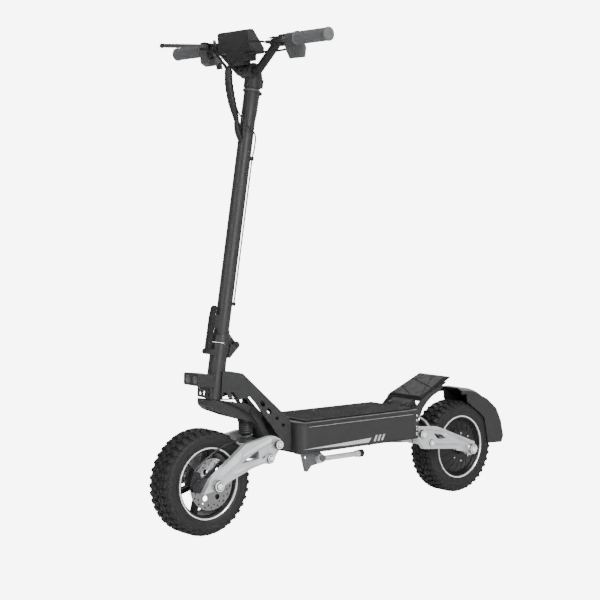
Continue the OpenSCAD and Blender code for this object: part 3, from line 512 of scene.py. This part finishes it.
# Cooling ribs on both faces of the rear hub, and the screws of its left cover.
RIB_FOOT = ((0.047, 0.0385, -0.0016), (0.047, 0.0385, 0.0016), (0.0785, 0.0245, 0.0014), (0.0785, 0.0245, -0.0014))
RIB_TOP = ((0.0475, 0.0410, -0.0011), (0.0475, 0.0410, 0.0011), (0.078, 0.0275, 0.001), (0.078, 0.0275, -0.001))
v, f = joined([loft(*[[on_wheel(REAR_X, r, TURN * k / 18, s * y, off) for r, y, off in quad]
                      for quad in (RIB_FOOT, RIB_TOP)]) for k in range(18) for s in (-1, 1)])
piece("rear_hub_ribs", v, f, SLOT_OF["rear_motor"], "rear_wheel")
v, f = joined([screw(on_wheel(REAR_X, 0.040, TURN * k / 8, 0.040), SIDE, 0.0028, 0.0022) for k in range(8)])
piece("rear_hub_screws", v, f, "bright_steel", "rear_wheel")

# ---------------------------------------------------------------- arms: raised beams, washers and nuts


def beam(a, b, half, rise, y, taper=0.7):
    """A roof-shaped rib on an arm's outer face, from a to b in x and z, in millimetres."""
    a, b = Vector((a[0], 0, a[1])) / 1000, Vector((b[0], 0, b[1])) / 1000
    u = (b - a).normalized()
    n = Vector((-u.z, 0, u.x))
    half, rise, out = half / 1000, rise / 1000, Vector((0, y / 1000, 0))
    lift = Vector((0, rise, 0))
    verts = [a + n * half + out, a - n * half + out, b - n * half * taper + out, b + n * half * taper + out,
             a + u * half + out + lift, b - u * half * taper + out + lift]
    return verts, [(0, 1, 2, 3), (0, 4, 1), (2, 5, 3), (1, 4, 5, 2), (3, 5, 4, 0)]


front_beams = [beam((303, 229), (404, 196), 8, 3.5, 71.8), beam((396, 202), (474, 152), 13, 4, 71.8, 0.8),
               beam((320, 182), (430, 157), 7.5, 3, 71.8)]
rear_beams = [beam((-240, 203), (-330, 190), 7, 3.5, 77.8), beam((-322, 190), (-425, 146), 11, 4, 77.8, 0.8),
              beam((-262, 160), (-400, 146), 7, 3, 77.8)]
for side, shapes in (("front", front_beams), ("rear", rear_beams)):
    v, f = joined(shapes + [flipped(b) for b in shapes])
    piece(side + "_arm_beams", v, f, "silver_cast", side + "_arm", bevel=0.0006, sharp=20)


def fitting(x, z, y, washer, hexagon):
    """A dark washer, and on it a bright ring and nut, on both sides. The place is in millimetres."""
    dark, bright = [], []
    for s in (-1, 1):
        at, out = (x / 1000, s * y / 1000, z / 1000), (0, s, 0)
        dark.append(lathe([(0, 0), (washer, 0), (washer, 0.0016), (washer - 0.0008, 0.0024), (0, 0.0024)],
                          at, out, 40))
        bright.append(closed_lathe([(washer - 0.0042, 0.0022), (washer - 0.0038, 0.0036), (washer - 0.0018, 0.0036),
                                    (washer - 0.0014, 0.0022)], at, out, 40))
        bright.append(nut((at[0], at[1] + s * 0.0020, at[2]), out, hexagon, 0.0042))
    return dark, bright


# For each: x, z, y, the washer's radius and the nut's radius.
FITTINGS = (
    ("front_arm", "front_arm", [(315, 184, 77, 0.0125, 0.0068), (481, 133, 79, 0.0150, 0.0085)]),
    ("fork_pivot", "steering", [(289, 217, 79, 0.0125, 0.0068)]),
    ("rear_arm", "rear_arm", [(-273, 165, 78, 0.0110, 0.0060), (-435, 133, 88, 0.0150, 0.0090)]),
    ("frame_pivot", "chassis", [(-231, 195, 84, 0.0125, 0.0068)]),
)
for name, body, spots in FITTINGS:
    dark, bright = zip(*[fitting(*spot) for spot in spots])
    v, f = joined(sum(dark, []))
    piece(name + "_washers", v, f, "black_metal", body)
    v, f = joined(sum(bright, []))
    piece(name + "_nuts", v, f, "polished", body)

# ---------------------------------------------------------------- shocks


def shock(side, low, top, coil_top):
    """Coil and ribbed dust boot about the line from the lower to the upper eye."""
    low, top = Vector((low[0], 0, low[1])) / 1000, Vector((top[0], 0, top[1])) / 1000
    length, axis = (top - low).length, (top - low).normalized()
    m = basis(low, axis)
    start, turns, wire, radius, steps = 0.0190, 3.0, 0.0030, 0.0162, 84
    path = []
    for k in range(steps + 1):
        t = k / steps
        a = TURN * turns * t
        path.append(m @ Vector((radius * math.cos(a), radius * math.sin(a), start + (coil_top - start) * t)))
    v, f = tube(path, wire, 10)
    coil = piece(side + "_coil", v, f, "coil", side + "_shock_upper", (side + "_spring",))
    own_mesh(coil)
    high = length - 0.0262
    folds = max(4, round((high - coil_top) / 0.0052))
    foot = coil_top + 0.001
    step = (high - foot) / folds
    profile = [(0.0128, foot)]
    for k in range(folds):
        z = foot + step * k
        profile += [(0.0168, z + step * 0.08), (0.0192, z + step * 0.38), (0.0192, z + step * 0.58),
                    (0.0168, z + step * 0.92)]
    profile += [(0.0128, high)]
    v, f = closed_lathe(profile, low, axis, 40)
    piece(side + "_shock_boot", v, f, "plastic", side + "_shock_upper", sharp=60)


shock("front", (334, 188), (339, 300), 0.054)
shock("rear", (-273, 165), (-243, 262), 0.047)

# ---------------------------------------------------------------- bar, grips, cables

grip = [(0.0112, 0.1872), (0.0165, 0.1872), (0.0180, 0.1882), (0.0180, 0.1908), (0.0168, 0.1922), (0.0158, 0.1932)]
y = 0.1945
while y < 0.2975:
    grip += [(0.0152, y), (0.0161, y + 0.0009), (0.0161, y + 0.0024), (0.0152, y + 0.0033)]
    y += 0.0043
grip += [(0.0158, 0.2990), (0.0168, 0.2998), (0.0172, 0.3010), (0.0170, 0.3040), (0.0150, 0.3058), (0.0060, 0.3060),
         (0.0055, 0.3050), (0, 0.3050)]
left = lathe(grip, (0.335, 0, 1.230), SIDE, 48)
v, f = joined([left, flipped(left)])
piece("ribbed_grips", v, f, "grip_rubber", BODY_OF["grips"], ("grips",), sharp=50)

RAKE = RAD(8.65)


def on_axis(u, y, h):
    """A point in millimetres at a height along the leaning stem, u in front of its axis."""
    return (428 + u * math.cos(RAKE) - h * math.sin(RAKE), y, 430 + u * math.sin(RAKE) + h * math.cos(RAKE))


# The radius of each cable and its route, in millimetres.
CORDS = {
    "left_brake_cable": (2.7, mm((366, 102, 1226), (378, 84, 1228), (394, 62, 1225), (405, 36, 1205), (405, 5, 1165))),
    "right_brake_cable": (2.7, mm((366, -102, 1234), (376, -84, 1241), (396, -64, 1238), (409, -36, 1210),
                                  (401, -6, 1165))),
    "left_switch_cable": (2.7, mm((332, 155, 1208), (344, 130, 1204), (376, 84, 1200), (398, 40, 1190),
                                  (398, 7, 1165))),
    "right_switch_cable": (2.7, mm((332, -155, 1208), (344, -130, 1210), (378, -88, 1210), (402, -44, 1202),
                                   (394, -5, 1165))),
    "display_cable": (2.7, mm((376, 10, 1184), (382, 7, 1178), (391, 3, 1172), (392, 2, 1165))),
    "left_pair_cable": (2.8, mm((390, 4, 1081), (383, 4, 1066), (376, 3, 1050), (373, 3, 1037))),
    "right_pair_cable": (2.8, mm((384, -4, 1081), (378, -4, 1066), (372, -3, 1050), (370, -3, 1037))),
    "stem_cable_upper": (1.9, mm((384, 9, 1081), (376, 14, 1056), (358, 25, 1026), on_axis(-6, 29, 580),
                                 on_axis(-16, 20, 548), on_axis(-16.5, 15.5, 525))),
    "stem_cable_lower": (1.9, mm(*[on_axis(-16.5, 15.5, h) for h in (520, 440, 360, 280, 200, 152)])),
}
# The open loops. The other cables are clipped or covered all along.
for name, (r, route) in CORDS.items():
    path = smooth_path(route, 8)
    v, f = tube(path, r / 1000, 12)
    cable = piece(name, v, f, "cable", BODY_OF["control_cables"],
                  ("control_cables",) if name == "left_brake_cable" else (), sharp=60)

# The wrapped bundle below the bar: a tube whose radius changes at each point of its route, with a spiral wrap.
STEPS, AROUND, WRAP_DEPTH, WRAP_PITCH = 14, 20, 0.05, 1.35
loom = smooth_path(mm((399, 0, 1170), (397, 0, 1130), (387, 0, 1085), (377, 0, 1055), (371, 0, 1034), (367, 0, 1010),
                      (356, 0, 988), (347, 0, 970)), STEPS)
widths = [0.0072, 0.0104, 0.0104, 0.0082, 0.0062, 0.0080, 0.0080, 0.0070]
across = Vector((0, 1, 0))
verts = []
for i, p in enumerate(loom):
    k = min(i // STEPS, len(widths) - 2)
    t = i / STEPS - k
    r = widths[k] * (1 - t) + widths[k + 1] * t
    out = heading(loom, i).cross(across)
    for j in range(AROUND):
        a = TURN * j / AROUND
        wrap = 1 + WRAP_DEPTH * math.sin(a - i * WRAP_PITCH)
        verts.append(p + r * wrap * (math.cos(a) * across + math.sin(a) * out))
piece("wrapped_loom", verts, bands(len(loom), AROUND), "cable", BODY_OF["cable_guides"], sharp=70)

lean_axis = Vector((-math.sin(RAKE), 0, math.cos(RAKE)))
v, f = closed_lathe([(0.0196, 0.0), (0.0222, 0.0006), (0.0228, 0.0022), (0.0222, 0.0052), (0.0196, 0.0058)],
                    Vector(on_axis(0, 0, 690)) / 1000, lean_axis, 64)
piece("stem_top_ring", v, f, "pod_grey", BODY_OF["bar_clamp"])

# The kickstand's pivot screw, and the rubber foot at the free end of its leg.
tilt = RAD(20)
pin = Vector((0, math.cos(tilt), math.sin(tilt)))
hub = Vector((0.163, 0.088, 0.167))


def off_line(p, at, line):
    """How far a point is from a line."""
    return (p - at - line * (p - at).dot(line)).length


leg = [Vector(v.co) for v in frame["nodes"]["kickstand_leg"].data.vertices]
outer = max(p.dot(pin) for p in leg if off_line(p, hub, pin) < 0.014)
v, f = screw(hub + pin * (outer - hub.dot(pin)), pin, 0.0072, 0.0035)
piece("kickstand_pivot_screw", v, f, "black_metal", BODY_OF["kickstand_leg"])
tip_x = min(p.x for p in leg)
ends = [p for p in leg if p.x < tip_x + 0.012]
middle = sum(ends, Vector()) / len(ends)
run = (middle - hub).normalized()
reach = max((p - middle).dot(run) for p in ends)
wide = max(off_line(p, middle, run) for p in ends)
v, f = lathe([(0, -0.014), (wide + 0.0004, -0.014), (wide + 0.0010, -0.012), (wide + 0.0010, reach - 0.001),
              (wide - 0.001, reach + 0.0012), (0, reach + 0.0015)], middle, run, 32)
piece("kickstand_foot", v, f, "cable", BODY_OF["kickstand_leg"], sharp=40)

# ---------------------------------------------------------------- lamps

AHEAD = (1, 0, 0)
for s, name in ((-1, "right"), (1, "left")):
    at = (0.5052, s * 0.0145, 0.3925)
    v, f = lathe([(0, 0), (0.0108, 0), (0.0108, 0.0030), (0.0098, 0.0046), (0.0070, 0.0053), (0.0035, 0.0056),
                  (0, 0.0057)], at, AHEAD, 48)
    piece(name + "_lamp_glass", v, f, "lens", BODY_OF["headlight_lenses"],
          ("headlight_lenses",) if s < 0 else (), sharp=40)
    v, f = joined([closed_lathe(ring, at, AHEAD, 48) for ring in (
        [(0.0092, 0.0040), (0.0092, 0.0054), (0.0106, 0.0050), (0.0110, 0.0034)],
        [(0.0046, 0.0048), (0.0046, 0.0060), (0.0058, 0.0058), (0.0060, 0.0048)])])
    piece(name + "_lamp_rings", v, f, "grey_metal", BODY_OF["headlight_lenses"])

# ---------------------------------------------------------------- deck relief and trim

ridges = []
RIDGE_PITCH, RIDGE_HALF, MAT_REAR = 0.0108, 0.0024, -0.182
for j in range(-7, 8):
    reach = 0.190 if abs(j) < 7 else 0.182
    ridges.append(loft(*[[(x, j * RIDGE_PITCH + w, z) for x, w in (
        (MAT_REAR + draw, -half), (reach - draw, -half), (reach - draw, half), (MAT_REAR + draw, half))]
        for z, draw, half in ((0.2714, 0.0, RIDGE_HALF), (0.2729, 0.001, RIDGE_HALF * 0.6))]))
v, f = joined(ridges)
piece("deck_mat_ridges", v, f, "deck_mat", "chassis")

pad = [v.co for v in frame["nodes"]["tread_pads"].data.vertices if v.co.x < -0.236]
lean = Vector((0.421, 0, 0.907)).normalized()
along = Vector((-0.907, 0, 0.421)).normalized()
top = max(p.dot(lean) for p in pad)
s0, s1 = min(p.dot(along) for p in pad), max(p.dot(along) for p in pad)


def on_pad(s, y, h):
    """A point on the sloping tail pad: s along it, y across it and h above it."""
    return along * s + lean * (top + h) + Vector((0, y, 0))


# Raised plates on the tail pad: a sheet cut by lines, each plate drawn in from its cuts and lifted.
bm = bmesh.new()
outline = [(s0 + 0.004, -0.052), (s0 + 0.030, -0.058), (s1 - 0.012, -0.050), (s1 - 0.004, -0.040),
           (s1 - 0.004, 0.040), (s1 - 0.012, 0.050), (s0 + 0.030, 0.058), (s0 + 0.004, 0.052)]
bm.faces.new([bm.verts.new((u, w, 0)) for u, w in outline])
# Each cut: where it passes, as a share of the pad's length and a distance across it, and its direction.
CUTS = ((0.30, 0.0, 1.0, 0.25), (0.55, 0.01, 0.35, -1.0), (0.5, 0.03, 1.0, -0.45), (0.25, -0.03, -0.6, 1.0),
        (0.78, -0.02, 0.5, 1.0), (0.5, -0.034, 1.0, 0.12), (0.15, 0.03, 0.9, 0.7))
for u, w, du, dw in CUTS:
    bmesh.ops.bisect_plane(bm, geom=bm.verts[:] + bm.edges[:] + bm.faces[:], plane_co=(s0 + u * (s1 - s0), w, 0),
                           plane_no=Vector((-dw, du, 0)).normalized())
SMALLEST, GAP, CHAMFER = 4e-5, 0.0014, 0.0024
plates = []
for face in bm.faces:
    middle = face.calc_center_median()
    if face.calc_area() > SMALLEST:
        rings = []
        for draw, h in ((GAP, -0.0006), (CHAMFER, 0.0012)):
            drawn = [v.co + (middle - v.co).normalized() * draw for v in face.verts]
            rings.append([on_pad(c.x, c.y, h) for c in drawn])
        plates.append(loft(*rings))
bm.free()
v, f = joined(plates)
piece("tail_pad_plates", v, f, "pad_plate", "chassis")

# Trim on the deck's sides: a wedge, three bars and a thin line.
wedge = mm((222, 199.6), (-18, 207.5), (-8, 196), (78, 196))
slashes = [mm((x, 197), (x - 7, 197), (x - 15, 213), (x - 8, 213)) for x in (-26, -40, -54)]
line = mm((-176, 256.4), (206, 256.4), (206, 257.1), (-176, 257.1))
parts = []
for s in (-1, 1):
    parts += [prism(shape, s * 0.0979, s * 0.0984) for shape in [wedge, line] + slashes]
v, f = joined(parts)
piece("deck_side_stripe", v, f, "silver_cast", "chassis")

heads = []
for s in (-1, 1):
    heads += [screw((-0.190, s * 0.098, z), (0, s, 0), 0.0030, 0.0020) for z in (0.204, 0.222, 0.240, 0.252)]
v, f = joined(heads)
piece("deck_edge_screws", v, f, "bright_steel", "chassis")
